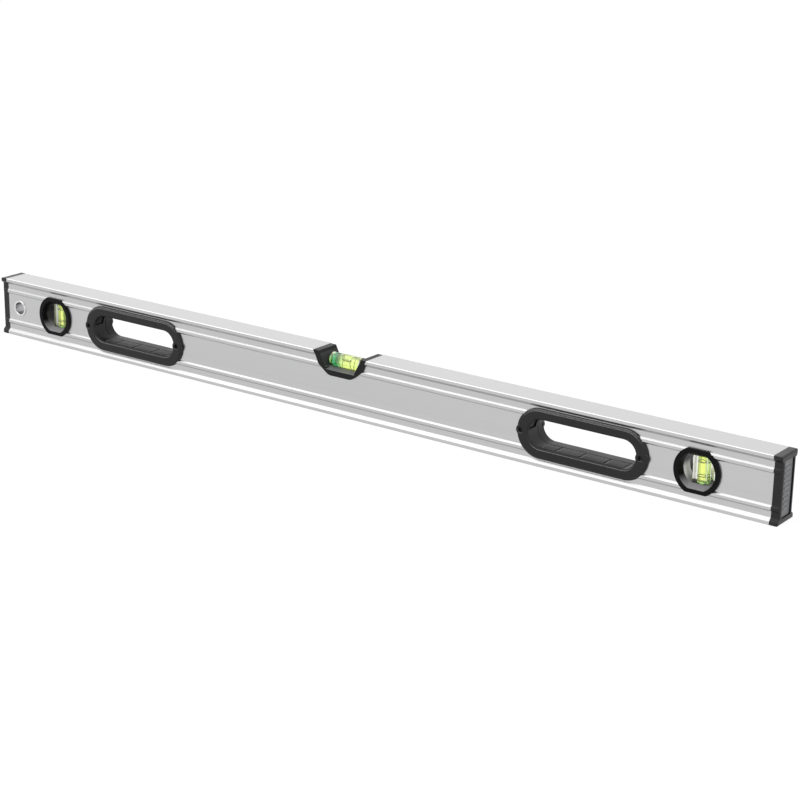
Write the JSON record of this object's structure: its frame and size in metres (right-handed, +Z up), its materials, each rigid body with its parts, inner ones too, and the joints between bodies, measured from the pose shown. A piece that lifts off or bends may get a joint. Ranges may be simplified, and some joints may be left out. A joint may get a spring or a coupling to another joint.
{
  "type": "magnetic spirit level",
  "caption": "Box-beam magnetic spirit level with a top-read centre vial, plumb vials near its ends, moulded hand-holds, capped ends and a hanging eyelet.",
  "frame": {"origin": "middle of the lower measuring face's rectangle, on that face", "axes": "+X along the beam towards the end without the hanging eyelet, -Y towards the front side in the picture, +Z up to the upper measuring face"},
  "size_m": [0.9, 0.0282, 0.06],
  "materials": {
    "beam_aluminium": "satin powder-silver extrusion, faint lengthwise drawing lines, milled measuring faces",
    "cap_plastic": "fine matte black moulding",
    "pad_plastic": "mid-grey soft moulding",
    "grip_plastic": "charcoal moulding with a soft sheen",
    "grip_rubber": "dull dark rubber",
    "bezel_plastic": "satin black moulding",
    "vial_clear": "polished clear acrylic",
    "vial_liquid": "clear yellow-green liquid",
    "vial_bubble": "clear bubble",
    "ring_black": "black marking ring",
    "eyelet_metal": "bright rolled metal",
    "magnet_metal": "plated magnet disc"
  },
  "bodies": {
    "level": {"beam": "beam_aluminium", "left_end_cap": "cap_plastic", "right_end_cap": "cap_plastic", "left_cap_pad": "pad_plastic", "right_cap_pad": "pad_plastic", "left_front_grip": "grip_plastic", "left_rear_grip": "grip_plastic", "right_front_grip": "grip_plastic", "right_rear_grip": "grip_plastic", "left_grip_pad": "grip_rubber", "right_grip_pad": "grip_rubber", "left_front_bezel": "bezel_plastic", "left_rear_bezel": "bezel_plastic", "right_front_bezel": "bezel_plastic", "right_rear_bezel": "bezel_plastic", "left_vial": "vial_clear", "right_vial": "vial_clear", "left_vial_plug": "vial_clear", "right_vial_plug": "vial_clear", "left_vial_rings": "ring_black", "right_vial_rings": "ring_black", "left_liquid": "vial_liquid", "right_liquid": "vial_liquid", "centre_cradle": "bezel_plastic", "centre_vial": "vial_clear", "centre_vial_plug": "vial_clear", "centre_vial_rings": "ring_black", "centre_liquid": "vial_liquid", "hanging_eyelet": "eyelet_metal", "magnets": "magnet_metal"},
    "centre_bubble_body": {"centre_bubble": "vial_bubble"},
    "left_bubble_body": {"left_bubble": "vial_bubble"},
    "right_bubble_body": {"right_bubble": "vial_bubble"}
  },
  "joints": [
    {"name": "centre_bubble_travel", "type": "slide", "parent": "level", "child": "centre_bubble_body", "axis": [1, 0, 0], "range_m": [-0.0088, 0.0088], "stiffness_N_per_m": 5},
    {"name": "left_bubble_travel", "type": "slide", "parent": "level", "child": "left_bubble_body", "axis": [0, 0, 1], "range_m": [-0.017, 0], "stiffness_N_per_m": 5, "springref_m": 0.01},
    {"name": "right_bubble_travel", "type": "slide", "parent": "level", "child": "right_bubble_body", "axis": [0, 0, 1], "range_m": [-0.017, 0], "stiffness_N_per_m": 5, "springref_m": 0.01}
  ]
}
